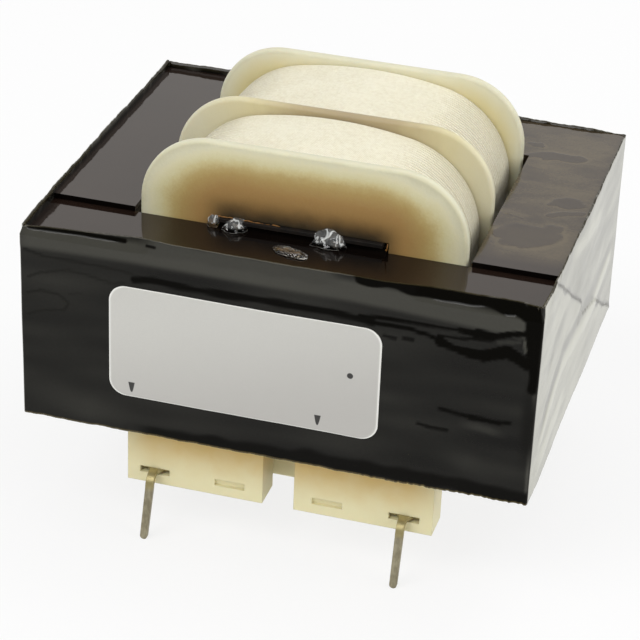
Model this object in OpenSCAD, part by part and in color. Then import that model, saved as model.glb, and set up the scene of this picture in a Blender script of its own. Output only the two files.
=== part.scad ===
// Board-mounted mains transformer on a laminated E and I core.
// A one-piece moulded bobbin with three flanges carries two windings side by side.
// Its two end flanges stand on terminal rails, whose bent sheet legs go through the board.
// X runs along the core, Y along its legs and Z up. The leg tips are at z = 0,
// and the middle of the core is over the origin.

/* [Core] */
// Width of the centre leg of a lamination, from which its other widths follow
tongue_w = 19.05; // [16:0.05:24]
// Thickness of one lamination
lam_t = 0.635; // [0.35:0.005:0.8]
// Number of E laminations in the stack
e_count = 35; // [20:1:45]
// How many I laminations the stack is short of E laminations
i_short = 1; // [0:1:3]
// Depth of the varnished groove between two lamination edges
lam_groove = 0.06; // [0.02:0.01:0.1]
// Height of that groove
lam_groove_h = 0.05; // [0.03:0.01:0.1]

/* [Film band] */
// Thickness of the film wrapped round the core
film_t = 0.15; // [0.1:0.01:0.3]
// How far the film reaches below the laminations
film_below = 0.55; // [0:0.05:1]
// How far the film reaches above the E laminations
film_above = 0.7; // [0:0.05:1.5]
// Thickness of the film's overlapping end
film_lap_t = 0.1; // [0.05:0.01:0.2]

/* [Bobbin] */
// Clearance between the centre leg and the tube
leg_clearance = 0.25; // [0.1:0.05:0.5]
// Room above the centre leg for the wedge
wedge_room = 0.45; // [0.3:0.05:0.8]
// Wall of the tube
tube_wall = 1.2; // [0.8:0.1:2]
// Thickness of each flange
flange_t = 1.1; // [0.8:0.1:1.6]
// How far the flanges stand above and below the laminations
flange_reach = 9.15; // [8:0.05:9.3]
// Clearance between a flange's side and an outer leg of the core
flange_side_clearance = 0.55; // [0.2:0.05:1]
// Clearance between an end flange and the core
flange_end_clearance = 0.15; // [0.05:0.05:0.4]
// Corner radius of the flanges
flange_corner_r = 8; // [5:0.5:9]
// Radius that rounds a flange's rim on both faces
flange_edge_r = 0.42; // [0.1:0.02:0.5]
// Width of the front bay, which holds the primary winding
front_bay_w = 10.9; // [9:0.1:14]

/* [Terminal rails] */
// Height of the rails, from the board to the laminations
rail_h = 9.45; // [9.2:0.05:11]
// Half of the gap between the two blocks of a rail
rail_gap_half = 1.83; // [1:0.01:3]
// Distance from the middle to the outer end of a block
rail_half_w = 17.85; // [17.2:0.05:18.4]
// Depth of a block, front to back
block_d = 3.95; // [3:0.05:4.4]
// Width of the wire channel between a block and its flange
channel_w = 1.76; // [1.5:0.02:2.2]
// Thickness of the bridge that joins a block to its flange
bridge_h = 2; // [1.5:0.1:3]
// Distance between the two middle terminals of a row
inner_pitch = 11.43; // [10.5:0.01:12.5]
// Wall between an outer terminal slot and the end of its block
slot_end_wall = 1.495; // [1:0.005:2.4]
// Height of the terminal slots above the board
slot_above_seat = 1.2; // [0.8:0.1:2]
// Width of a terminal slot
slot_w = 3.5; // [3:0.1:4]
// Height of a terminal slot
slot_h = 0.8; // [0.7:0.05:1.2]
// Depth of the recess where a slot is left closed
blank_depth = 0.4; // [0.2:0.05:0.8]

/* [Terminals] */
// Thickness of the terminal sheet
sheet_t = 0.5; // [0.4:0.05:0.6]
// Side clearance of a terminal's tab in its slot
tab_clearance = 0.1; // [0.05:0.05:0.2]
// Width of a terminal's leg
leg_w = 0.92; // [0.7:0.02:1.2]
// Width of the leg at its tip
leg_tip_w = 0.84; // [0.6:0.02:1]
// Width of the leg's root, where it leaves the tab
leg_root_w = 2; // [1.4:0.1:2.6]
// Length of the legs below the board's top face
lead_length = 6.55; // [4:0.05:9]
// Inside radius of the leg's bend
bend_r = 1.1; // [0.5:0.05:1.3]
// Distance of a leg's middle plane in front of its block
leg_standoff = 1.7425; // [1.4:0.0025:2.5]
// How far the tab's shoulders stand back inside the slot
shoulder_inset = 0.5; // [0.3:0.05:1]
// How far the tab's tail reaches into the wire channel
tail_reach = 1.2; // [0.9:0.05:1.4]
// Sideways lean of the front left leg at its tip
lean_left = 0.65; // [0:0.05:1]
// Sideways lean of the front right leg at its tip
lean_right = 0.35; // [0:0.05:1]

/* [Windings] */
// Thickness of the woven tape wrapped round each winding
wrap_t = 0.6; // [0.3:0.05:0.8]
// Distance from the flange's top edge down to the crown of the tape
wrap_below_rim = 0.62; // [0.4:0.02:1.5]
// Distance from the flange's side edge in to the tape
wrap_inside_rim = 1.3; // [0.8:0.05:2]
// Corner radius of the tape
wrap_corner_r = 10.5; // [9:0.5:11.5]
// Radius of the tape's crowned top and underside
wrap_crown_r = 45; // [35:1:80]
// Side clearance of a winding and its tape in their bay
bay_clearance = 0.1; // [0.05:0.05:0.2]
// Clearance between the tube, the winding and the tape
winding_clearance = 0.05; // [0.02:0.01:0.1]
// Diameter of the winding wire's ends
lead_d = 0.5; // [0.3:0.05:0.6]
// Radius of the solder on a terminal's tail
solder_r = 0.55; // [0.4:0.05:0.6]

/* [Label and drops] */
// Width of the label
label_w = 30.5; // [20:0.5:40]
// Height of the label
label_h = 13.5; // [8:0.5:18]
// Thickness of the label
label_t = 0.1; // [0.05:0.01:0.2]
// Corner radius of the label
label_r = 1.9; // [0.5:0.1:4]
// Distance of the label's middle left of the core's middle
label_left = 3.2; // [0:0.1:6]
// Height of the label's middle above the laminations' underside
label_up = 10.8; // [9.5:0.1:12]

/* [Hidden] */
$fn = 48;

// Laminations: every width follows from the centre leg, as in a scrapless E and I
side_w = tongue_w / 2;
window_l = tongue_w * 1.5;
core_w = tongue_w * 3;
core_d = window_l + 2 * side_w;
joint_y = side_w - core_d / 2;
e_stack_h = e_count * lam_t;
i_stack_h = (e_count - i_short) * lam_t;

// Heights
seat_z = lead_length;
core_z = seat_z + rail_h;
core_mid_z = core_z + e_stack_h / 2;
e_top_z = core_z + e_stack_h;
i_top_z = core_z + i_stack_h;

// Bobbin
bobbin_half_l = window_l / 2 - flange_end_clearance;
flange_half_w = core_w / 2 - side_w - flange_side_clearance;
flange_half_h = e_stack_h / 2 + flange_reach;
bore_half_w = tongue_w / 2 + leg_clearance;
bore_half_h = e_stack_h / 2 + wedge_room;
tube_half_w = bore_half_w + tube_wall;
tube_half_h = bore_half_h + tube_wall;
tube_r = 0.8;
front_bay_y = flange_t - bobbin_half_l;
middle_flange_y = front_bay_y + front_bay_w;
back_bay_y = middle_flange_y + flange_t;
back_bay_w = bobbin_half_l - flange_t - back_bay_y;

// Terminal rails
block_w = rail_half_w - rail_gap_half;
block_face_y = bobbin_half_l + channel_w + block_d;
slot_z = seat_z + slot_above_seat;
outer_x = rail_half_w - slot_end_wall - slot_w / 2;
inner_x = inner_pitch / 2;
slot_xs = [-outer_x, -inner_x, inner_x, outer_x];

// Terminals: the legs of the two rows stand two leg_y apart
tab_w = slot_w - 2 * tab_clearance;
sheet_z = slot_z + slot_h - sheet_t;
leg_y = block_face_y + leg_standoff;
tail_y = bobbin_half_l + channel_w - tail_reach;

// Windings and the tape round them
wrap_half_w = flange_half_w - wrap_inside_rim;
wrap_half_h = flange_half_h - wrap_below_rim;
winding_inset = wrap_t + winding_clearance;

// Where the round corner of a winding runs on from its crown: the middle of the
// corner, and the point at which the two arcs touch
crown_z = wrap_half_h - wrap_crown_r;
corner_x = wrap_half_w - wrap_corner_r;
corner_z = crown_z + sqrt(pow(wrap_crown_r - wrap_corner_r, 2) - corner_x * corner_x);
touch_x = corner_x * wrap_crown_r / (wrap_crown_r - wrap_corner_r);

// Wire ends: each leaves the winding through a slit in the tape and a notch in the flange
lead_r = lead_d / 2;
lead_y = bobbin_half_l + channel_w - solder_r - winding_clearance;
notch_w = lead_d + 0.7;
slit_l = 1.6;
solder_clearance = 0.02;

// A rectangle with round corners, centred on the origin
module round_rect(half_w, half_h, r) {
    square([2 * (half_w - r), 2 * half_h], center = true);
    square([2 * half_w, 2 * (half_h - r)], center = true);
    for (sx = [-1, 1])
        for (sy = [-1, 1])
            translate([sx * (half_w - r), sy * (half_h - r)]) circle(r = r);
}

// Stands a flat outline up in the XZ plane and extrudes it along Y from y0
module along_y(y0, length, z0) {
    translate([0, y0 + length, z0])
        rotate([90, 0, 0])
            linear_extrude(height = length) children();
}

// The outline of an E lamination, with its edges drawn in by inset
module e_outline(inset) {
    half_w = core_w / 2 - inset;
    back = core_d / 2 - inset;
    polygon([
        [-half_w, joint_y],
        [inset - core_w / 2 + side_w - 2 * inset, joint_y],
        [side_w - core_w / 2 - inset, core_d / 2 - side_w + inset],
        [inset - tongue_w / 2, core_d / 2 - side_w + inset],
        [inset - tongue_w / 2, joint_y],
        [tongue_w / 2 - inset, joint_y],
        [tongue_w / 2 - inset, core_d / 2 - side_w + inset],
        [core_w / 2 - side_w + inset, core_d / 2 - side_w + inset],
        [core_w / 2 - side_w + inset, joint_y],
        [half_w, joint_y],
        [half_w, back],
        [-half_w, back]
    ]);
}

// The outline of an I lamination, with its front and ends drawn in by inset
module i_outline(inset) {
    translate([inset - core_w / 2, inset - core_d / 2])
        square([core_w - 2 * inset, side_w - inset]);
}

// A stack of laminations bonded by varnish, with a fine groove round each joint
module lamination_stack(count) {
    for (i = [0:count - 1])
        translate([0, 0, core_z + i * lam_t])
            linear_extrude(height = i < count - 1 ? lam_t - lam_groove_h : lam_t)
                children(0);
    for (i = [1:count - 1])
        translate([0, 0, core_z + i * lam_t - lam_groove_h])
            linear_extrude(height = lam_groove_h)
                children(1);
}

module e_laminations() {
    color([0.27, 0.24, 0.23])
        lamination_stack(e_count) {
            e_outline(0);
            e_outline(lam_groove);
        }
}

module i_laminations() {
    color([0.3, 0.26, 0.25])
        lamination_stack(e_count - i_short) {
            i_outline(0);
            i_outline(lam_groove);
        }
}

// A thin strip driven in over the centre leg, so that the core can't hum
wedge_t = wedge_room - 0.03;
wedge_nose = 0.45;

module core_wedge() {
    color([0.16, 0.14, 0.12])
        translate([0.3 - tongue_w / 2, joint_y - wedge_nose, e_top_z])
            cube([tongue_w - 0.6, window_l + wedge_nose - 0.4, wedge_t]);
}

// One of the two blocks of a rail, right of the middle, on the front side
module rail_block() {
    translate([rail_gap_half, -block_face_y, seat_z])
        cube([block_w, block_d, rail_h]);
    translate([rail_gap_half, -block_face_y, core_z - bridge_h])
        cube([block_w, block_d + channel_w + flange_t / 2, bridge_h]);
}

// A front rail with its two blocks
module rail() {
    rail_block();
    mirror([1, 0, 0]) rail_block();
}

// A slot right through a block, for a terminal
module slot_cut(x) {
    translate([x - slot_w / 2, -block_face_y - 1, slot_z])
        cube([slot_w, block_d + 2, slot_h]);
}

// A slot that is left closed
module blank_cut(x) {
    translate([x - slot_w / 2, -block_face_y - 1, slot_z])
        cube([slot_w, 1 + blank_depth, slot_h]);
}

// A notch that lets a wire end through the front flange, and through the
// bridge in front of it where the wire end lies that high
module notch_cut(x) {
    start_y = -lead_y - lead_r - 2 * winding_clearance;
    end_y = flange_t - bobbin_half_l + 0.1;
    translate([x - notch_w / 2, start_y, seat_z - 1])
        cube([notch_w, end_y - start_y, lead_z(x) + 1.5 * lead_d - seat_z + 1]);
}

// Height of a wire end that passes under the tape at x
function wrap_under_z(x) = core_mid_z - wrap_outline_h(abs(x));

// Half the height of the tape's outline at x: on its crown, or on its corner
function wrap_outline_h(x) = x < touch_x ?
    crown_z + sqrt(wrap_crown_r * wrap_crown_r - x * x) :
    corner_z + sqrt(pow(wrap_corner_r, 2) - pow(x - corner_x, 2));

// Height of the middle of a wire end at x, just under the tape
function lead_z(x) = wrap_under_z(x) - lead_r - winding_clearance;

// Section of a flange from its middle to its rim, which is rounded on both faces
module flange_section(reach) {
    land = flange_t / 2 - flange_edge_r;
    translate([0, -flange_t / 2]) square([reach - flange_edge_r, flange_t]);
    translate([0, -land]) square([reach, 2 * land]);
    for (side = [-land, land])
        translate([reach - flange_edge_r, side]) circle(r = flange_edge_r);
}

// A flange: its section revolved round each corner and drawn along each side
module flange_plate(y0) {
    straight_w = 2 * (flange_half_w - flange_corner_r);
    straight_h = 2 * (flange_half_h - flange_corner_r);
    translate([0, y0 + flange_t / 2, core_mid_z])
        rotate([90, 0, 0]) {
            for (side = [0, 180])
                rotate([0, 0, side]) {
                    rotate([90, 0, 0])
                        linear_extrude(height = straight_h, center = true)
                            flange_section(flange_half_w);
                    rotate([0, 0, 90])
                        rotate([90, 0, 0])
                            linear_extrude(height = straight_w, center = true)
                                flange_section(flange_half_h);
                    translate([straight_w / 2, straight_h / 2])
                        rotate_extrude(angle = 90)
                            flange_section(flange_corner_r);
                    translate([-straight_w / 2, straight_h / 2])
                        rotate([0, 0, 90])
                            rotate_extrude(angle = 90)
                                flange_section(flange_corner_r);
                }
        }
}

module bobbin() {
    color([0.9, 0.87, 0.72])
        difference() {
            union() {
                along_y(-bobbin_half_l, 2 * bobbin_half_l, core_mid_z)
                    round_rect(tube_half_w, tube_half_h, tube_r);
                flange_plate(-bobbin_half_l);
                flange_plate(middle_flange_y);
                flange_plate(bobbin_half_l - flange_t);
                rail();
                mirror([0, 1, 0]) rail();
            }
            along_y(-bobbin_half_l - 1, 2 * bobbin_half_l + 2, core_mid_z)
                square([2 * bore_half_w, 2 * bore_half_h], center = true);
            for (x = [-outer_x, outer_x]) {
                slot_cut(x);
                notch_cut(x);
            }
            for (x = [-inner_x, inner_x])
                blank_cut(x);
            mirror([0, 1, 0])
                for (x = slot_xs) {
                    slot_cut(x);
                    notch_cut(x);
                }
        }
}

// The outline round a winding, drawn in by inset: a crown above and below,
// which runs smoothly into the round corners
module coil_outline(inset) {
    fan = 1.5 * wrap_crown_r / (wrap_crown_r - wrap_corner_r);
    fan_z = crown_z + (corner_z - crown_z) * fan;
    for (turn = [0, 180])
        rotate([0, 0, turn]) {
            intersection() {
                translate([0, crown_z]) circle(r = wrap_crown_r - inset, $fn = 96);
                polygon([
                    [-corner_x, 0], [corner_x, 0], [corner_x, corner_z],
                    [corner_x * fan, fan_z], [-corner_x * fan, fan_z], [-corner_x, corner_z]
                ]);
            }
            for (sx = [-1, 1])
                translate([sx * corner_x, corner_z]) circle(r = wrap_corner_r - inset);
        }
    square([2 * (wrap_half_w - inset), 2 * corner_z], center = true);
}

// The hole through a winding, which clears the tube
module tube_hole() {
    round_rect(tube_half_w + winding_clearance, tube_half_h + winding_clearance,
               tube_r + winding_clearance);
}

module winding(bay_y, bay_w) {
    color([0.72, 0.42, 0.2])
        along_y(bay_y + bay_clearance, bay_w - 2 * bay_clearance, core_mid_z)
            difference() {
                coil_outline(winding_inset);
                tube_hole();
            }
}

// Tape round a winding, slit at its edge where a wire end comes out
module wrap(bay_y, bay_w, slit_y, xs) {
    color([0.93, 0.9, 0.8])
        difference() {
            along_y(bay_y + bay_clearance, bay_w - 2 * bay_clearance, core_mid_z)
                difference() {
                    coil_outline(0);
                    coil_outline(wrap_t);
                }
            for (x = xs)
                translate([x - notch_w / 2, slit_y, seat_z - 1])
                    cube([notch_w, slit_l, wrap_half_h / 2]);
        }
}

module primary_winding() { winding(front_bay_y, front_bay_w); }
module secondary_winding() { winding(back_bay_y, back_bay_w); }
module primary_wrap() { wrap(front_bay_y, front_bay_w, front_bay_y, [-outer_x, outer_x]); }
module secondary_wrap() {
    wrap(back_bay_y, back_bay_w, back_bay_y + back_bay_w - slit_l, slot_xs);
}

// The film round the core, its edges standing a little past the laminations
module core_film_band() {
    film_h = film_below + e_stack_h + film_above;
    color([0.06, 0.05, 0.05]) {
        translate([0, 0, core_z - film_below])
            linear_extrude(height = film_h)
                difference() {
                    square([core_w + 2 * film_t, core_d + 2 * film_t], center = true);
                    square([core_w, core_d], center = true);
                }
        translate([core_w / 2 + film_t + film_lap_t, 0, core_z - film_below])
            rotate([0, -90, 0])
                linear_extrude(height = film_lap_t + film_t / 2)
                    polygon([
                        [0, -core_d / 2 - film_t],
                        [0, core_d / 2 - film_h / 20],
                        [film_h * 0.42, core_d * 0.02],
                        [film_h * 0.56, -core_d * 0.01],
                        [film_h, -core_d * 0.4],
                        [film_h, -core_d / 2 - film_t]
                    ]);
    }
}

module label() {
    color([0.8, 0.79, 0.78])
        translate([-label_left, 0, core_z + label_up])
            along_y(-core_d / 2 - film_t - label_t, label_t, 0)
                round_rect(label_w / 2, label_h / 2, label_r);
}

// Side view of a leg: a region with a round shoulder, forward of inner_y and under top_z
module shoulder(front_y, top_z, r) {
    translate([front_y + r, top_z - r]) circle(r = r);
    translate([front_y, -1]) square([2 * leg_y, top_z - r + 1]);
    translate([front_y + r, -1]) square([2 * leg_y, top_z + 1]);
}

// Side view of the sheet, from its tab over the bend and down the leg
module bent_sheet() {
    difference() {
        shoulder(-leg_y - sheet_t / 2, sheet_z + sheet_t, bend_r + sheet_t);
        shoulder(-leg_y + sheet_t / 2, sheet_z, bend_r);
    }
}

// A front terminal: a tab in the slot, a bend and a leg that leans sideways
module terminal(x, lean) {
    leg_top_z = sheet_z - bend_r;
    root_y = -block_face_y + shoulder_inset;
    bend_y = bend_r + sheet_t / 2 - leg_y;
    color([0.62, 0.6, 0.54])
        translate([x, 0, 0])
            intersection() {
                rotate([90, 0, 90])
                    linear_extrude(height = 2 * slot_w, center = true) bent_sheet();
                union() {
                    translate([0, 0, leg_top_z])
                        linear_extrude(height = rail_h)
                            polygon([
                                [-leg_w / 2, -2 * leg_y], [leg_w / 2, -2 * leg_y],
                                [leg_w / 2, bend_y], [leg_root_w / 2, root_y],
                                [tab_w / 2, root_y], [tab_w / 2, -tail_y],
                                [-tab_w / 2, -tail_y], [-tab_w / 2, root_y],
                                [-leg_root_w / 2, root_y], [-leg_w / 2, bend_y]
                            ]);
                    rotate([90, 0, 0])
                        linear_extrude(height = 4 * leg_y, center = true) {
                            polygon([
                                [-leg_w / 2, leg_top_z + bend_r / 2],
                                [-leg_w / 2, leg_top_z],
                                [-lean - leg_tip_w / 2, leg_tip_w / 2],
                                [leg_tip_w / 2 - lean, leg_tip_w / 2],
                                [leg_w / 2, leg_top_z],
                                [leg_w / 2, leg_top_z + bend_r / 2]
                            ]);
                            translate([-lean, leg_tip_w / 2]) circle(d = leg_tip_w);
                        }
                }
            }
}

// The terminals of the back row face the other way
module back_terminal(x) { mirror([0, 1, 0]) terminal(x, 0); }

module terminal_1() { terminal(-outer_x, lean_left); }
module terminal_4() { terminal(outer_x, lean_right); }
module terminal_5() { back_terminal(outer_x); }
module terminal_6() { back_terminal(inner_x); }
module terminal_7() { back_terminal(-inner_x); }
module terminal_8() { back_terminal(-outer_x); }

// A wire end on the front side: down out of the winding, through the notch, to the tail
module lead(x) {
    z = lead_z(x);
    start_y = -front_bay_y - slit_l / 2;
    tail_z = z > sheet_z ? sheet_z + sheet_t : sheet_z;
    start_z = core_mid_z - wrap_outline_h(abs(x) - lead_r) + wrap_t;
    translate([x, -lead_y, z])
        rotate([-90, 0, 0]) cylinder(r = lead_r, h = lead_y - start_y);
    translate([x, -start_y, z]) cylinder(r = lead_r, h = start_z - z);
    translate([x, -start_y, z]) sphere(r = lead_r);
    translate([x, -lead_y, z]) sphere(r = lead_r);
    translate([x, -lead_y, min(z, tail_z)]) cylinder(r = lead_r, h = abs(z - tail_z));
}

module primary_leads() {
    color([0.7, 0.35, 0.15])
        for (x = [-outer_x, outer_x])
            lead(x);
}

module secondary_leads() {
    color([0.7, 0.35, 0.15])
        mirror([0, 1, 0])
            for (x = slot_xs)
                lead(x);
}

// A drop of solder on the face of the tail that the wire end meets
module solder(x) {
    above = lead_z(x) > sheet_z;
    difference() {
        translate([x, -lead_y, above ? sheet_z + sheet_t : sheet_z]) sphere(r = solder_r);
        translate([x - tab_w / 2, -lead_y - 1, above ? sheet_z - 1 : sheet_z])
            cube([tab_w, 2, sheet_t + 1]);
        translate([x, -lead_y, sheet_z - 1.5])
            cylinder(r = lead_r + solder_clearance, h = sheet_t + 3);
        translate([x, -lead_y, lead_z(x)]) {
            sphere(r = lead_r + solder_clearance);
            rotate([-90, 0, 0]) cylinder(r = lead_r + solder_clearance, h = 2 * solder_r);
        }
    }
}

module solder_joints() {
    color([0.75, 0.75, 0.74]) {
        for (x = [-outer_x, outer_x])
            solder(x);
        mirror([0, 1, 0])
            for (x = slot_xs)
                solder(x);
    }
}

// Drops of cured varnish in front of the flange: place across, distance forward of
// the joint, height of the middle above the I laminations, and radius
beads = [
    [-10.3, 0.3, 0.4, 0.7],
    [-7.9, 0.75, 0.3, 0.9],
    [2.9, 0.8, 0.45, 1.5],
    [0.1, 4.3, -0.9, 1.65]
];

module varnish_beads() {
    color([0.85, 0.8, 0.7])
        difference() {
            for (b = beads)
                translate([b[0], joint_y - b[1], i_top_z])
                    intersection() {
                        translate([0, 0, b[2]]) sphere(r = b[3]);
                        translate([-2 * b[3], -2 * b[3], 0])
                            cube([4 * b[3], 2 * b[3] + b[1], 4 * b[3]]);
                    }
            translate([-tongue_w / 2, joint_y - wedge_nose, e_top_z])
                cube([tongue_w, window_l, wedge_t]);
        }
}

e_laminations();
i_laminations();
core_wedge();
bobbin();
primary_winding();
secondary_winding();
primary_wrap();
secondary_wrap();
core_film_band();
label();
terminal_1();
terminal_4();
terminal_5();
terminal_6();
terminal_7();
terminal_8();
primary_leads();
secondary_leads();
solder_joints();
varnish_beads();
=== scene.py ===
"""Finish of a laminated transformer with a split bobbin, for printed boards.

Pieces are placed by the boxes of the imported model, and marks on them by
places in its frame. Builders work in millimetres, and a mesh becomes metres
when it is made.
"""

import logging
import math
from collections.abc import Callable, Mapping, Sequence
from dataclasses import dataclass, field
from enum import Enum

import bmesh
import bpy
import numpy as np
from mathutils import Matrix, Vector


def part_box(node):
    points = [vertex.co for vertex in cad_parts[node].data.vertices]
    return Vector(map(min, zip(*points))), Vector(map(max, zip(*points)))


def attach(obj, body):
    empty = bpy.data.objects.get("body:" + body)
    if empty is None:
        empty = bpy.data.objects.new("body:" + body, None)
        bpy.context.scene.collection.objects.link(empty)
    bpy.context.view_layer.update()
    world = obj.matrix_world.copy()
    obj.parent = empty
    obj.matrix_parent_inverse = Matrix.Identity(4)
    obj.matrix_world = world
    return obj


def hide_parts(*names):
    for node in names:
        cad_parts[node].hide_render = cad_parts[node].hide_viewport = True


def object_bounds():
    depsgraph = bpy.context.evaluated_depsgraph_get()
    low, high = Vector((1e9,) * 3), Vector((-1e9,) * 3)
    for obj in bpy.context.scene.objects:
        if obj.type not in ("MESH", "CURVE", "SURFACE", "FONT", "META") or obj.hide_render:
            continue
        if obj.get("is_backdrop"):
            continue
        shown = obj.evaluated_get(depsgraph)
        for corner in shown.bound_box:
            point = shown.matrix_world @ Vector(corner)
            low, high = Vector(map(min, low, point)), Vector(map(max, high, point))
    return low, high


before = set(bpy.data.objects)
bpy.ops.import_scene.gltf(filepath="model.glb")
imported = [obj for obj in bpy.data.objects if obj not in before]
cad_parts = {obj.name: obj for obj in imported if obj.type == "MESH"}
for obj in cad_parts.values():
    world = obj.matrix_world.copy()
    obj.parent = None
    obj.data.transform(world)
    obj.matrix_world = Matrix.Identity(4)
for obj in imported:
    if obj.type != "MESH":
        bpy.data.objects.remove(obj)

LOG = logging.getLogger("transformer")
MM = 0.001
BODY = "root"
WHITE = (1.0, 1.0, 1.0, 1.0)
TURN = 2 * math.pi
Array = np.ndarray
Pair = tuple[float, float]
Triple = tuple[float, float, float]
Colour = Triple
Path = tuple[Pair, ...]
Stops = tuple[tuple[float, Colour], ...]
Material = bpy.types.Material
Socket = bpy.types.NodeSocket


# ---- measuring


@dataclass(frozen=True)
class Box:
    """Lowest and highest corner of a piece, in millimetres."""

    low: Array
    high: Array

    @classmethod
    def of(cls, *nodes: str) -> "Box":
        """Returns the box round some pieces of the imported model."""
        ends = [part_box(name) for name in nodes]
        low = np.min([np.array(end[0]) for end in ends], axis=0)
        high = np.max([np.array(end[1]) for end in ends], axis=0)
        return cls(low / MM, high / MM)

    @property
    def middle(self) -> Array:
        """The centre of the box."""
        return (self.low + self.high) / 2

    @property
    def half(self) -> Array:
        """Half the length of each side."""
        return (self.high - self.low) / 2


def xyz(*parts: Array) -> Array:
    """Points from their coordinates, which are spread to one shape."""
    return np.stack(np.broadcast_arrays(*parts), axis=-1)


def ease(value: Array, start: float, end: float) -> Array:
    """Rises from 0 at start to 1 at end, as three t squared less two t cubed.

    Args:
        value: The numbers to ease.
        start: Where the rise begins. It may lie above end, and then it falls.
        end: Where the rise is complete.

    Returns:
        Numbers from 0 to 1, in the shape of value.
    """
    t = np.clip((value - start) / (end - start), 0, 1)
    return t * t * (3 - 2 * t)


def distance_to(across: Array, up: Array, path: Path) -> Array:
    """Distance of every point of a face from a bent line on it.

    Each straight run gives the length of what is left after the nearest
    point of the run is taken away, and the least of the runs counts.

    Args:
        across: First coordinate of the points on the face.
        up: Second coordinate of the points.
        path: The corners of the line.

    Returns:
        The distances, in the shape of across.
    """
    nearest = np.full(across.shape, np.inf)
    for (ax, ay), (bx, by) in zip(path[:-1], path[1:]):
        run = np.array([bx - ax, by - ay])
        share = (across - ax) * run[0] + (up - ay) * run[1]
        share = np.clip(share / max(run @ run, 1e-9), 0, 1)
        gap = np.hypot(across - ax - share * run[0], up - ay - share * run[1])
        nearest = np.minimum(nearest, gap)
    return nearest


def ripple(place: Array, seed: int, longest: float, terms: int = 6) -> Array:
    """Smooth waviness along a line: a sum of sines whose height falls with pitch.

    Args:
        place: Position along the line.
        seed: Picks the phases.
        longest: Longest wave.
        terms: How many waves are summed, each about 0.6 of the last.

    Returns:
        Waviness of about one unit either way.
    """
    phases = np.random.default_rng(seed).uniform(0, TURN, terms)
    total = np.zeros_like(place)
    for term, phase in enumerate(phases):
        total += 0.7**term * np.sin(TURN * place / (longest * 0.6**term) + phase)
    return total / 1.6


def cloud(points: Array, seed: int, size: float, waves: int = 14) -> Array:
    """Smooth lumpiness in space: sines along random directions, summed.

    Args:
        points: Positions, with the coordinates last.
        seed: Picks the directions and phases.
        size: Distance across one lump.
        waves: How many sines are summed.

    Returns:
        Lumpiness of about one unit either way.
    """
    draw = np.random.default_rng(seed)
    ways = draw.normal(size=(waves, 3))
    ways *= math.pi / size / np.linalg.norm(ways, axis=1, keepdims=True)
    phases = draw.uniform(0, TURN, waves)
    return np.sin(points @ ways.T + phases).sum(axis=-1) * math.sqrt(2 / waves)


def round_rectangle(
    half_w: float, half_h: float, radius: float, sides: Sequence[int], corner: int
) -> tuple[Array, Array]:
    """Points round a rectangle with round corners, from the end of its right side.

    Each corner is a quarter circle about its own centre, and a straight side
    runs on to the next corner.

    Args:
        half_w: Half the width.
        half_h: Half the height.
        radius: Radius of the corners.
        sides: Points on the far, left, near and right side.
        corner: Points on each corner.

    Returns:
        The points and the outward directions, each as (count, 2).
    """
    points, normals = [], []
    inner = np.array([half_w - radius, half_h - radius])
    signs = np.array([(1, 1), (-1, 1), (-1, -1), (1, -1), (1, 1)])
    for quarter, count in enumerate(sides):
        centre, after = signs[quarter] * inner, signs[quarter + 1] * inner
        angle = math.pi / 2 * (quarter + np.linspace(0, 1, corner))
        way = np.stack([np.cos(angle), np.sin(angle)], axis=1)
        start, end = centre + radius * way[-1], after + radius * way[-1]
        share = np.linspace(0, 1, count + 2)[1:-1, None]
        points += [centre + radius * way, start + share * (end - start)]
        normals += [way, np.repeat(way[-1:], count, axis=0)]
    return np.concatenate(points), np.concatenate(normals)


# ---- making meshes


@dataclass
class Grid:
    """A sheet of points in rows and columns whose last column joins the first.

    Attributes:
        points: Positions in millimetres, as (rows, columns, 3).
        wrap_rows: The last row joins the first too.
        marks: Numbers carried by the points, by name.
        plan: Lengths along the sheet for its weave or print, or None.
    """

    points: Array
    wrap_rows: bool = False
    marks: dict[str, Array] = field(default_factory=dict)
    plan: Array | None = None

    def faces(self) -> Array:
        """Four-sided faces between neighbouring rows and columns."""
        rows, columns = self.points.shape[:2]
        index = np.arange(rows * columns).reshape(rows, columns)
        if self.wrap_rows:
            index = np.concatenate([index, index[:1]])
        index = np.concatenate([index, index[:, :1]], axis=1)
        corners = [index[:-1, :-1], index[:-1, 1:], index[1:, 1:], index[1:, :-1]]
        return np.stack([corner.ravel() for corner in corners], axis=1)


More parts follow.
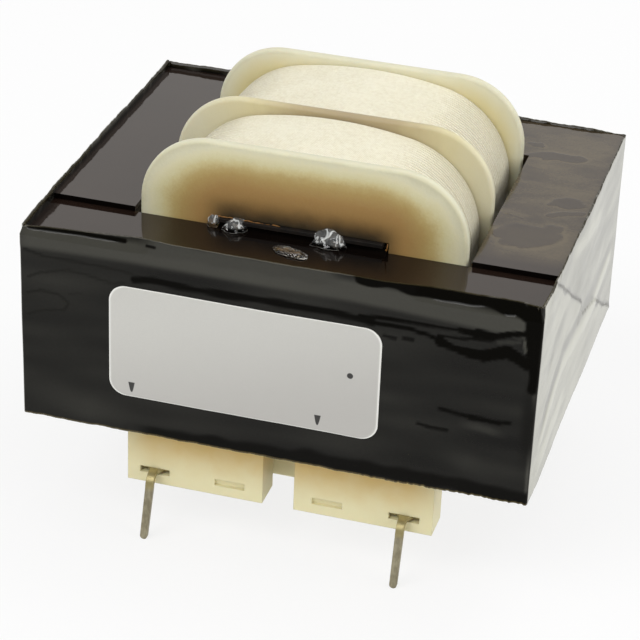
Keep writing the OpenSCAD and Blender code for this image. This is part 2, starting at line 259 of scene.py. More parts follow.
def closed_mesh(name: str, grids: Sequence[Grid]) -> bpy.types.Mesh:
    """Makes one closed mesh from grids, with poles merged and faces outwards.

    Args:
        name: Name of the mesh.
        grids: The sheets that it holds, with the same marks.

    Returns:
        The mesh, in metres.
    """
    starts = np.cumsum([0] + [grid.points[..., 0].size for grid in grids])
    points = np.concatenate([grid.points.reshape(-1, 3) for grid in grids])
    faces = np.concatenate([grid.faces() + start for grid, start in zip(grids, starts)])
    mesh = bpy.data.meshes.new(name)
    mesh.vertices.add(len(points))
    mesh.vertices.foreach_set("co", (points * MM).ravel().astype(np.float32))
    mesh.loops.add(faces.size)
    mesh.loops.foreach_set("vertex_index", faces.ravel().astype(np.int32))
    mesh.polygons.add(len(faces))
    mesh.polygons.foreach_set("loop_start", np.arange(len(faces)) * 4)
    mesh.update(calc_edges=True)
    for key in grids[0].marks:
        values = np.concatenate([grid.marks[key].ravel() for grid in grids])
        layer = mesh.attributes.new(key, "FLOAT", "POINT")
        layer.data.foreach_set("value", values.astype(np.float32))
    if grids[0].plan is not None:
        plan = np.concatenate([grid.plan.reshape(-1, 3) for grid in grids])
        layer = mesh.attributes.new("plan", "FLOAT_VECTOR", "POINT")
        layer.data.foreach_set("vector", plan.ravel().astype(np.float32))
    work = bmesh.new()
    work.from_mesh(mesh)
    bmesh.ops.remove_doubles(work, verts=work.verts, dist=1e-8)
    bmesh.ops.recalc_face_normals(work, faces=work.faces)
    work.to_mesh(mesh)
    work.free()
    mesh.shade_smooth()
    return mesh


def add_object(name: str, data: bpy.types.ID) -> bpy.types.Object:
    """Adds an object with its data to the scene."""
    made = bpy.data.objects.new(name, data)
    bpy.context.scene.collection.objects.link(made)
    return made


def add_piece(
    name: str, grids: Sequence[Grid], material: Material, slot: str, *nodes: str
) -> None:
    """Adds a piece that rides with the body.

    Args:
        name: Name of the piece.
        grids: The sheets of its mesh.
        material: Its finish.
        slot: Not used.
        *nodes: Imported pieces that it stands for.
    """
    made = add_object(name, closed_mesh(name, grids))
    made.data.materials.append(material)
    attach(made, BODY)
    if nodes:
        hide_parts(*nodes)
    LOG.info("%s: %d faces", name, len(made.data.polygons))


def dress(material: Material, *nodes: str) -> None:
    """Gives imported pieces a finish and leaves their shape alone."""
    for node in nodes:
        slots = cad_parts[node].data.materials
        slots.clear()
        slots.append(material)
        LOG.info("%s: %s", node, material.name)


# ---- shading


def seen(red: float, green: float, blue: float) -> tuple[float, float, float, float]:
    """A colour as a screen shows it, from 0 to 255, turned to linear light."""
    parts = [part / 255 for part in (red, green, blue)]
    line = [p / 12.92 if p < 0.04045 else ((p + 0.055) / 1.055) ** 2.4 for p in parts]
    return (line[0], line[1], line[2], 1.0)


def arithmetic(kind: str, turned: bool = False) -> Callable[..., "Value"]:
    """A method of Value for one step of arithmetic.

    Args:
        kind: The operation.
        turned: The value itself comes last.

    Returns:
        The method.
    """

    def method(value: "Value", *others: "Value | float") -> "Value":
        """The result, as the output of a Math node."""
        terms = (*others, value) if turned else (value, *others)
        inputs = dict(enumerate(terms))
        return value.graph.value("Math", inputs, operation=kind)

    return method


@dataclass(frozen=True)
class Value:
    """A number that changes over a surface, and that takes part in sums."""

    graph: "Graph"
    socket: Socket

    __add__ = __radd__ = arithmetic("ADD")
    __sub__ = arithmetic("SUBTRACT")
    __rsub__ = arithmetic("SUBTRACT", turned=True)
    __mul__ = __rmul__ = arithmetic("MULTIPLY")
    __truediv__ = arithmetic("DIVIDE")
    __pow__ = arithmetic("POWER")
    __abs__ = arithmetic("ABSOLUTE")
    most = arithmetic("MAXIMUM")
    least = arithmetic("MINIMUM")
    sine = arithmetic("SINE")

    def step(self, start: float, end: float) -> "Value":
        """Rises smoothly from 0 at start to 1 at end, or falls if end is lower."""
        if end < start:
            return 1 - self.step(end, start)
        inputs = {"Value": self, "From Min": start, "From Max": end}
        return self.graph.value("MapRange", inputs, interpolation_type="SMOOTHSTEP")


Input = Value | Socket | float | Sequence[float]
Inputs = Mapping[str | int, Input]


class Graph:
    """The nodes of one material or of the world."""

    def __init__(self, tree: bpy.types.NodeTree) -> None:
        """Empties the tree that it works on."""
        self.tree = tree
        tree.nodes.clear()

    def node(self, kind: str, inputs: Inputs | None = None, **settings: object) -> bpy.types.Node:
        """Makes a node.

        Args:
            kind: The node's type, less the words that all types begin with.
            inputs: Values or links of its sockets, by name or number.
            **settings: Its settings.

        Returns:
            The node.
        """
        made = self.tree.nodes.new(f"ShaderNode{kind}")
        for key, setting in settings.items():
            setattr(made, key, setting)
        for key, value in (inputs or {}).items():
            source = value.socket if isinstance(value, Value) else value
            if isinstance(source, Socket):
                self.tree.links.new(source, made.inputs[key])
            else:
                made.inputs[key].default_value = source
        return made

    def value(
        self, kind: str, inputs: Inputs | None = None, output: int = 0, **settings: object
    ) -> Value:
        """Makes a node and returns the number that it gives out."""
        return Value(self, self.node(kind, inputs, **settings).outputs[output])

    def shader(self, kind: str, inputs: Inputs) -> Socket:
        """Makes a shader node and returns its shader."""
        return self.node(kind, inputs).outputs[0]

    def split(self, source: Socket) -> tuple[Value, ...]:
        """The three parts of a vector."""
        parts = self.node("SeparateXYZ", {0: source}).outputs
        return tuple(Value(self, part) for part in parts)

    def place(self) -> tuple[Value, ...]:
        """The surface point in the part's frame, in millimetres."""
        parts = self.split(self.node("TexCoord").outputs["Object"])
        return tuple(part * (1 / MM) for part in parts)

    def point(self, scale: Triple) -> Socket:
        """The surface point in millimetres, each axis times its scale."""
        where = self.node("TexCoord").outputs["Object"]
        return self.node("Mapping", {0: where, 3: [s / MM for s in scale]}).outputs[0]

    def mark(self, name: str) -> Value:
        """A number that the mesh carries."""
        return self.value("Attribute", output=2, attribute_name=name)

    def plan(self) -> tuple[Value, ...]:
        """Lengths along a sheet, in millimetres, that the mesh carries."""
        return self.split(self.node("Attribute", attribute_name="plan").outputs[1])

    def slant(self) -> Value:
        """How far the surface turns from the eye, from 0 to 1."""
        return self.value("LayerWeight", {0: 0.5}, 1)

    def rays(self) -> tuple[Value, Value]:
        """Shares of rays that come straight or through varnish, and of reflected ones."""
        path = self.node("LightPath").outputs
        kinds = ("Camera", "Transmission", "Glossy")
        camera, through, shiny = (Value(self, path[f"Is {kind} Ray"]) for kind in kinds)
        return camera.most(through), shiny

    def noise(
        self, size: float, detail: float = 2, stretch: Triple = (1, 1, 1), warp: float = 0
    ) -> Value:
        """Smooth random lumps, about size millimetres across."""
        inputs = {"Vector": self.point(stretch), "Scale": 1 / size, "Detail": detail}
        return self.value("TexNoise", inputs | {"Distortion": warp})

    def blend(self, share: Value, first: Socket | Colour, second: Socket | Colour) -> Socket:
        """A colour between two, by share. A plain colour is one as a screen shows it."""
        ends = [end if isinstance(end, Socket) else seen(*end) for end in (first, second)]
        inputs = {0: share, 6: ends[0], 7: ends[1]}
        return self.node("Mix", inputs, data_type="RGBA").outputs[2]

    def ramp(self, value: Value, stops: Stops) -> Socket:
        """A colour read from a scale of screen colours."""
        made = self.node("ValToRGB", {0: value})
        elements = made.color_ramp.elements
        while len(elements) < len(stops):
            elements.new(0.5)
        for element, (place, colour) in zip(elements, stops):
            element.position = place
            element.color = seen(*colour)
        return made.outputs[0]

    def bump(self, height: Value, depth: float, edge: float = 0) -> Socket:
        """A normal tilted by a height that is 1 for depth millimetres.

        Args:
            height: The height.
            depth: What a height of 1 stands for, in millimetres.
            edge: Radius over which sharp edges turn first, in millimetres.

        Returns:
            The normal.
        """
        inputs = {"Height": height, "Distance": depth * MM}
        if edge:
            inputs["Normal"] = self.node("Bevel", {"Radius": edge * MM}, samples=6).outputs[0]
        return self.node("Bump", inputs).outputs[0]

    def principled(self, inputs: Inputs) -> Socket:
        """The general surface shader."""
        return self.shader("BsdfPrincipled", inputs)

    def mixed(self, share: Value | float, first: Socket, second: Socket) -> Socket:
        """A shader between two, by share."""
        return self.shader("MixShader", {0: share, 1: first, 2: second})


# ---- finishes


@dataclass(frozen=True)
class Finish:
    """A finish with a name. Each kind of finish makes a surface of its own."""

    name: str

    def surface(self, graph: Graph) -> Socket:
        """The shader of the finish."""
        raise NotImplementedError

    def material(self) -> Material:
        """Builds the finish."""
        made = bpy.data.materials.new(self.name)
        made.use_nodes = True
        graph = Graph(made.node_tree)
        graph.node("OutputMaterial", {"Surface": self.surface(graph)})
        return made


@dataclass(frozen=True)
class Pool:
    """A place where the varnish ran thick: its centre, half lengths and turn."""

    centre: Pair
    half: Pair
    turn: float


POOLS: tuple[Pool, ...] = (
    Pool((26.0, 3.4), (2.7, 1.4), 0.36),
    Pool((26.2, 0.5), (1.8, 0.6), 0.3),
    Pool((21.8, 14.6), (3.2, 1.3), 0.1),
    Pool((19.1, 17.4), (1.3, 0.6), 0.0),
    Pool((22.9, -6.2), (3.4, 3.0), 0.5),
    Pool((20.9, -1.9), (1.3, 0.22), -0.15),
)


@dataclass(frozen=True)
class VarnishedSteel(Finish):
    """Laminations under clear varnish: dark, brownish and mirror-like.

    Attributes:
        end_y: Front of the pooled stack, whose end face is painted near black as shade at the step.
        shaded_half: Half width of the part under the flange's shadow.
        hazed_x: Where the haze begins and is full, from left to right.
        hazed_y: The same, from the front to the back.
        pools: Where the varnish ran thick.
    """

    base: Colour = (32, 24, 20)
    edge: Colour = (42, 33, 28)
    haze: Colour = (85, 75, 56)
    # Near-black painted shade: the E stack's end face at the step, and the I stack's middle under the
    # flange's shadow
    end: Colour = (8, 6, 5)
    tint: tuple[float, ...] = (1.0, 0.86, 0.72, 1.0)
    roughness: float = 0.06
    waviness: float = 0.01
    end_y: float = 0.0
    shaded_half: float = 0.0
    hazed_x: Pair = (14, 18)
    hazed_y: Pair = (-13.2, -9.5)
    pools: tuple[Pool, ...] = ()

    def pooled(self, x: Value, y: Value) -> tuple[Value, Value]:
        """Where the varnish is thick, and the pale rim round each such place.

        A point turned into a pool's own axes, over its half lengths, has a
        squared distance that is 1 on the pool's outline.
        """
        inside, rim = x * 0, x * 0
        for pool in self.pools:
            cos, sin = math.cos(pool.turn), math.sin(pool.turn)
            across, along = x - pool.centre[0], y - pool.centre[1]
            far = ((across * cos + along * sin) / pool.half[0]) ** 2
            far = far + ((along * cos - across * sin) / pool.half[1]) ** 2
            inside = inside.most(far.step(1.12, 0.8))
            rim = rim.most(far.step(0.9, 1.2) * far.step(1.9, 1.2))
        return inside, rim * (1 - inside)

    def hazed(self, graph: Graph, colour: Socket, fine: Value) -> tuple[Socket, Value]:
        """Lays the haze of the right side over a colour.

        Args:
            graph: The finish's nodes.
            colour: The steel's own colour.
            fine: Fine grain about 0.

        Returns:
            The new colour, and how thick the varnish stands.
        """
        x, y, _ = graph.place()
        wander, lobes = graph.noise(3.0, 3) - 0.5, graph.noise(4.2, 2) - 0.5
        inside, rim = self.pooled(x + wander * 2.6 + lobes * 6, y + wander * 2.4 + lobes * 4)
        right = x.step(*self.hazed_x) * y.step(*self.hazed_y)
        broad = graph.noise(5, 3, (0.5, 1.1, 1), 0.8).step(0.3, 0.65)
        mottled = graph.noise(1.5, 3, (0.6, 1.3, 1), 0.6) - 0.5
        share = right * (broad * 0.5 + 0.25 + mottled * 0.6 + fine * 0.5) * (1 - inside * 0.62)
        colour = graph.blend((share + right * rim * 0.22).most(0), colour, self.haze)
        # Painted shade: the end face at the step above the I stack is coloured near black
        face = y.step(self.end_y + 0.06, self.end_y + 0.02)
        return graph.blend(face, colour, self.end), inside * right

    def surface(self, graph: Graph) -> Socket:
        """The shader of the finish."""
        fine = graph.noise(0.35, 2) - 0.5
        shade = (graph.noise(9, 3) - 0.5) * 0.8 + fine * 0.5
        colour = graph.blend((shade + 0.45).step(0, 1), self.base, self.edge)
        height = graph.noise(4, 3) + graph.noise(0.8, 2) * 0.05
        # Painted shadow of the front flange over the middle of the I stack, in the near-black colour
        if self.shaded_half:
            across = abs(graph.place()[0])
            middle = across.step(self.shaded_half + 1.5, self.shaded_half - 1.5)
            colour = graph.blend(middle * 0.85, colour, self.end)
        if self.pools:
            colour, thick = self.hazed(graph, colour, fine)
            height = height + thick * 0.8
        inputs = {
            "Base Color": colour,
            "Roughness": graph.noise(3.5, 2).step(0.35, 0.75) * 0.05 + self.roughness,
            "IOR": 1.48,
            "Specular Tint": self.tint,
            "Normal": graph.bump(height, self.waviness),
        }
        return graph.principled(inputs)


# Colours of the front flange by its depth from the rim: painted see-through shade, browner and darker
# inwards where the winding and core lie behind the nylon
FRONT_STOPS: Stops = (
    (0.0, (208, 204, 174)),
    (0.05, (218, 214, 184)),
    (0.1, (222, 216, 180)),
    (0.17, (216, 208, 164)),
    (0.22, (208, 195, 144)),
    (0.29, (190, 168, 112)),
    (0.36, (180, 153, 96)),
    (0.5, (170, 135, 82)),
    (0.8, (148, 114, 66)),
)
# Colours of the other flanges by their depth from the rim: painted see-through shade, darker inwards
# towards the tape
PALE_STOPS: Stops = (
    (0.0, (210, 207, 182)),
    (0.12, (222, 218, 190)),
    (0.45, (218, 207, 160)),
    (0.9, (194, 180, 124)),
)
# Colours of the middle flange, from its middle to its ends: painted shade, darker where it sits between the
# two tapes
MIDDLE_STOPS: Stops = (
    (0.0, (164, 148, 116)),
    (0.32, (174, 158, 122)),
    (0.62, (208, 198, 158)),
    (1.0, (216, 211, 184)),
)


@dataclass(frozen=True)
class MouldedNylon(Finish):
    """Natural nylon that lets light in: pale at rims, warm over dark parts.

    Attributes:
        half_w, half_h, corner: Half sizes of a flange, and its corners' radius.
        mid_z: Height of its middle.
        core_z, core_top: Foot and top of the core.
        front_y, middle_y: Places of the front and the middle flange.
        shade_z, shade_x: Where the shadow at the front flange's foot fades,
            above the core and from the middle.
        tan_z: Where the rails turn tan, the painted shade under the film's overhang, from the core's foot.
        end_x: Where that painted shade on the rails fades to pale again, from the middle.
    """

    half_w: float
    half_h: float
    corner: float
    mid_z: float
    core_z: float
    core_top: float
    front_y: float
    middle_y: float
    shade_z: Pair = (3.3, 0.2)
    shade_x: Pair = (11.6, 8.0)
    tan_z: Pair = (-8.5, -1.8)
    end_x: Pair = (14.5, 18.5)
    shadow: Colour = (42, 38, 28)
    rail: Colour = (228, 220, 178)
    # Painted shade of the rails' upper part, under the film's overhang
    tan: Colour = (212, 176, 100)

    def rim_depth(self, x: Value, z: Value, narrow: float) -> Value:
        """Depth of a point of a flange from its rounded rim.

        Depths from the side, times narrow, and from the top are taken from
        the corner's radius. Where both are still above 0 their square sum's
        root counts, and else the larger.
        """
        side = self.corner - (self.half_w - abs(x)) * narrow
        rise = self.corner - (self.half_h - abs(z - self.mid_z))
        out = (side.most(0) ** 2 + rise.most(0) ** 2) ** 0.5
        return self.corner - out - side.most(rise).least(0)

    def surface(self, graph: Graph) -> Socket:
        """The shader of the finish."""
        x, y, z = graph.place()
        cloudy, grain = graph.noise(2.2, 3) - 0.5, graph.noise(0.25, 2) - 0.5
        deep = self.rim_depth(x, z, 0.74) + (cloudy * 0.9 + grain * 0.5)
        shadow = (z + cloudy * 1.1 - self.core_top).step(*self.shade_z)
        shadow = shadow * (abs(x) + cloudy).step(*self.shade_x)
        front = graph.blend(shadow * 0.96, graph.ramp(deep / 10, FRONT_STOPS), self.shadow)
        pale = graph.ramp((self.rim_depth(x, z, 1.0) + cloudy) / 5, PALE_STOPS)
        # Painted shade of the middle flange between the tapes
        middle = graph.ramp((abs(x - 1.5) + cloudy * 3) / 18, MIDDLE_STOPS)
        at_middle = abs(y - self.middle_y).step(1.4, 1.0)
        at_front = y.step(self.front_y + 0.25, self.front_y + 0.02)
        colour = graph.blend(at_front, graph.blend(at_middle, pale, middle), front)
        # Painted shade on the rails: tan near their top under the film, fading towards their ends
        ends = (abs(x) + cloudy * 3).step(*self.end_x)
        tan_low, tan_high = (self.core_z + rise for rise in self.tan_z)
        near_film = (z + cloudy * 2.2).step(tan_low, tan_high)
        rail = graph.blend(near_film * (1 - ends * 0.75) * 0.95, self.rail, self.tan)
        under = z.step(self.core_z + 0.3, self.core_z - 0.3)
        inputs = {
            "Base Color": graph.blend(under, colour, rail),
            "Roughness": grain * 0.1 + 0.45,
            "IOR": 1.42,
            "Subsurface Weight": 0.12,
            "Subsurface Radius": (1.0, 0.75, 0.4),
            "Subsurface Scale": 0.001,
            "Normal": graph.bump(grain + graph.noise(1.5, 2), 0.02, 0.18),
        }
        return graph.principled(inputs)


@dataclass(frozen=True)
class WovenTape(Finish):
    """Cream cloth tape, with the threads that run round the coil standing out."""

    pitch: float = 0.32
    cream: Colour = (241, 236, 213)
    shade: Colour = (219, 210, 180)

    def surface(self, graph: Graph) -> Socket:
        """The shader of the finish."""
        around, along, ridge = graph.plan()
        wobble = graph.noise(1.2, 2) * 0.9
        turn = TURN / self.pitch
        warp = ((along + wobble * 0.25) * turn).sine()
        weft = ((around + wobble * 0.25) * turn * 0.8).sine()
        weave = warp * weft * 0.5 + 0.5
        thread = ((along + wobble * 0.35) * turn * 0.62).sine() * 0.5 + 0.5
        fuzz = graph.noise(0.18, 3)
        mottle = graph.noise(0.5, 2) - 0.5
        height = weave * 0.6 + fuzz * 0.7 + mottle * 1.4 + thread * ridge * 2.0
        broad = (graph.noise(5, 2) - 0.5) * 0.5
        lit = weave * 0.6 + fuzz * 0.5 + mottle * 0.9 + broad + 0.1
        tone = (lit - ridge * (1 - thread) * 0.7).step(0, 1)
        inputs = {
            "Base Color": graph.blend(tone, self.shade, self.cream),
            "Roughness": 0.82,
            "Sheen Weight": 0.15,
            "Subsurface Weight": 0.1,
            "Subsurface Radius": (1.0, 0.8, 0.5),
            "Subsurface Scale": 0.0006,
            "Normal": graph.bump(height, 0.11),
        }
        return graph.principled(inputs)


@dataclass(frozen=True)
class BlackFilm(Finish):
    """Glossy black film: dark face on, and silvery where it is seen at a slant. Its tone and sheen marks
    carry painted reflections: light rolls and lobes, dark furrows, and bright and dark streaks on the
    silvery side.
    """

    dark: Colour = (10, 9, 7)
    # The light end of the face's tone, for painted reflections on rolls and lobes
    grey: Colour = (86, 85, 78)
    glue: Colour = (118, 104, 62)
    # The mirror's colours by the sheen mark: painted bright and dark streaks of reflection
    silver: Colour = (208, 207, 191)
    ash: Colour = (132, 130, 120)

    def surface(self, graph: Graph) -> Socket:
        """The shader of the finish."""
        outside = 1 - graph.mark("inner") * 0.92
        blur = graph.noise(7, 3, (0.3, 0.3, 2.0)) - 0.5
        grain = graph.noise(0.3, 1) - 0.5
        # The face's colour follows the tone mark and its painted reflections
        tint = graph.mark("tone") + blur * 0.1 + grain * 0.05
        colour = graph.blend(tint.step(-0.05, 1.25), self.dark, self.grey)
        normal = graph.bump(graph.noise(1.1, 3, (1, 1, 0.5)) + graph.noise(3, 2) * 2, 0.01)
        inputs = {
            "Base Color": graph.blend(graph.mark("lip"), colour, self.glue),
            "Roughness": 0.5,
            "Specular IOR Level": 0.0,
            "Coat Weight": graph.mark("gloss"),
            "Coat Roughness": 0.09,
            "Normal": normal,
        }
        face = graph.principled(inputs)
        # Painted streaks of reflection on the silvery side
        sheen_streak = graph.noise(2.0, 3, (1, 0.25, 1), 0.4) - 0.5
        sheen = (graph.mark("sheen") + sheen_streak * 0.55 + grain * 0.1).step(0, 1)
        inputs = {
            "Base Color": graph.blend(sheen, self.ash, self.silver),
            "Metallic": 1.0,
            "Roughness": 0.24,
            "Normal": normal,
        }
        mirror = graph.principled(inputs)
        return graph.mixed(graph.slant().step(0.5, 0.8) * outside * 0.94, face, mirror)


@dataclass(frozen=True)
class PrintedLabel(Finish):
    """Silver-grey label with two pointers to the front pins and a dot."""

    stock: Colour = (196, 195, 189)
    # Painted shade: the label darkens towards its low right
    shaded_stock: Colour = (180, 178, 173)
    speck: Colour = (172, 170, 168)
    # Painted highlight round the label's rim
    cut: Colour = (238, 238, 232)
    ink: Colour = (24, 22, 22)
    pointers: Path = ((-12.65, -6.15), (8.55, -6.05))
    pointer_w: float = 0.3
    pointer_h: float = 1.2
    dot: Pair = (11.95, 0.7)
    dot_r: float = 0.34

    def surface(self, graph: Graph) -> Socket:
        """The shader of the finish."""
        across, up, rim = graph.plan()
        ink = abs(across - self.dot[0]) ** 2 + abs(up - self.dot[1]) ** 2
        ink = ink.step(self.dot_r**2 * 1.2, self.dot_r**2 * 0.8)
        for left, foot in self.pointers:
            share = (up - foot) / self.pointer_h
            width = share**0.7 * self.pointer_w + 0.07
            inside = (width - abs(across - left)).step(-0.04, 0.04)
            ink = ink.most(inside * share.step(-0.05, 0.05) * share.step(1.04, 0.98))
        fleck = graph.noise(0.2, 2)
        # Painted shade from the top left to the low right
        high = (up / 15 - across / 60 + 0.55).step(0, 1)
        stock = graph.blend(high, self.shaded_stock, self.stock)
        stock = graph.blend((fleck - 0.35) * 0.25, stock, self.speck)
        # Painted highlight along the rim
        stock = graph.blend(rim * 0.8, stock, self.cut)
        inputs = {
            "Base Color": graph.blend(ink * 0.93, stock, self.ink),
            "Roughness": 0.42,
            "Normal": graph.bump(fleck, 0.006),
        }
        return graph.principled(inputs)


@dataclass(frozen=True)
class PlainFinish(Finish):
    """A finish with one pair of colours, a grain and a soft edge."""

    light: Colour
    dark: Colour
    metallic: float = 0.0
    roughness: float = 0.4
    grain: float = 0.6
    depth: float = 0.02
    edge: float = 0.06

    def surface(self, graph: Graph) -> Socket:
        """The shader of the finish."""
        lumps = graph.noise(self.grain, 3)
        inputs = {
            "Base Color": graph.blend(lumps.step(0.3, 0.7), self.dark, self.light),
            "Metallic": self.metallic,
            "Roughness": lumps * 0.15 + (self.roughness - 0.07),
            "Normal": graph.bump(lumps, self.depth, self.edge),
        }
        return graph.principled(inputs)


@dataclass(frozen=True)
class TinnedPin(Finish):
    """Dull tin on a pin, olive above its bend, where it leaves the slot."""

    bend_z: float
    tin: Colour = (172, 164, 138)
    worn: Colour = (136, 128, 104)
    olive: Colour = (172, 158, 104)

    def surface(self, graph: Graph) -> Socket:
        """The shader of the finish."""
        scuff = graph.noise(0.5, 3, (1, 1, 0.4))
        root = graph.place()[2].step(self.bend_z - 0.9, self.bend_z + 0.2)
        colour = graph.blend(scuff.step(0.3, 0.7), self.worn, self.tin)
        inputs = {
            "Base Color": graph.blend(root * 0.75, colour, self.olive),
            "Metallic": 0.5,
            "Roughness": scuff * 0.2 + 0.3,
            "Normal": graph.bump(scuff, 0.03, 0.09),
        }
        return graph.principled(inputs)


@dataclass(frozen=True)
class ClearDrop(Finish):
    """Hardened clear varnish, with painted white glints along the wrinkles of its tall drops and a painted
    highlight round the rim.
    """

    foot_z: float
    body: tuple[float, ...] = (0.96, 0.94, 0.9, 1.0)
    glint_white: Colour = (236, 238, 236)

    def surface(self, graph: Graph) -> Socket:
        """The shader of the finish."""
        normal = graph.bump(graph.noise(0.7, 2), 0.08)
        inputs = {
            "Base Color": self.body,
            "Roughness": 0.02,
            "IOR": 1.5,
            "Transmission Weight": 1.0,
            "Normal": normal,
        }
        clear = graph.principled(inputs)
        inputs = {"Base Color": seen(*self.glint_white), "Roughness": 0.1, "Normal": normal}
        bright = graph.principled(inputs)
        # Painted glints: white along the wrinkles of the tall drops, and a white rim where the surface
        # turns from the eye
        glint_lines = 1 - abs(graph.noise(1.5, 1, (1.6, 1.0, 0.5), 0.5) - 0.5) * 20
        tall = graph.place()[2].step(self.foot_z + 0.4, self.foot_z + 0.65)
        share = (glint_lines.most(0.14) * tall).most(graph.slant().step(0.74, 0.95))
        return graph.mixed(share.least(1) * 0.8, clear, bright)


@dataclass(frozen=True)
class PaleFloor(Finish):
    """White to the eye and to what reflects it, with the front part less bright."""

    grey: tuple[float, ...] = (0.86, 0.86, 0.86, 1)
    front_power: float = 0.42
    share: float = 0.8

    def surface(self, graph: Graph) -> Socket:
        """The shader of the finish."""
        sharp, shiny = graph.rays()
        plain = graph.principled({"Base Color": self.grey, "Roughness": 0.9})
        white = graph.shader("Emission", {0: WHITE, 1: 1.0})
        front = graph.shader("Emission", {0: WHITE, 1: self.front_power})
        far = graph.mixed(graph.place()[1].step(-60, 20), front, white)
        near = graph.mixed(sharp * self.share, plain, white)
        return graph.mixed(shiny * self.share, near, far)


# ---- pieces


class Face(Enum):
    """A side of the core that the film covers: the axis it is square to, and its sign."""

    FRONT = (1, -1)
    RIGHT = (0, 1)
    BACK = (1, 1)
    LEFT = (0, -1)


@dataclass(frozen=True)
class Crease:
    """A fold, blister edge or painted band of reflected light on the film, on one side of the core.

    Attributes:
        face: The side that it is on.
        path: Its bent line, across the side and up, in the part's frame.
        width, soft: Half its width, and the width over which it then fades.
        lift: Height that it stands out by.
        tone, gloss: What it brings, from 0, black or dull, to 1; None leaves it. The tone is painted
            reflection and shade.
    """

    face: Face
    path: Path
    width: float
    soft: float
    lift: float
    tone: float | None
    gloss: float | None
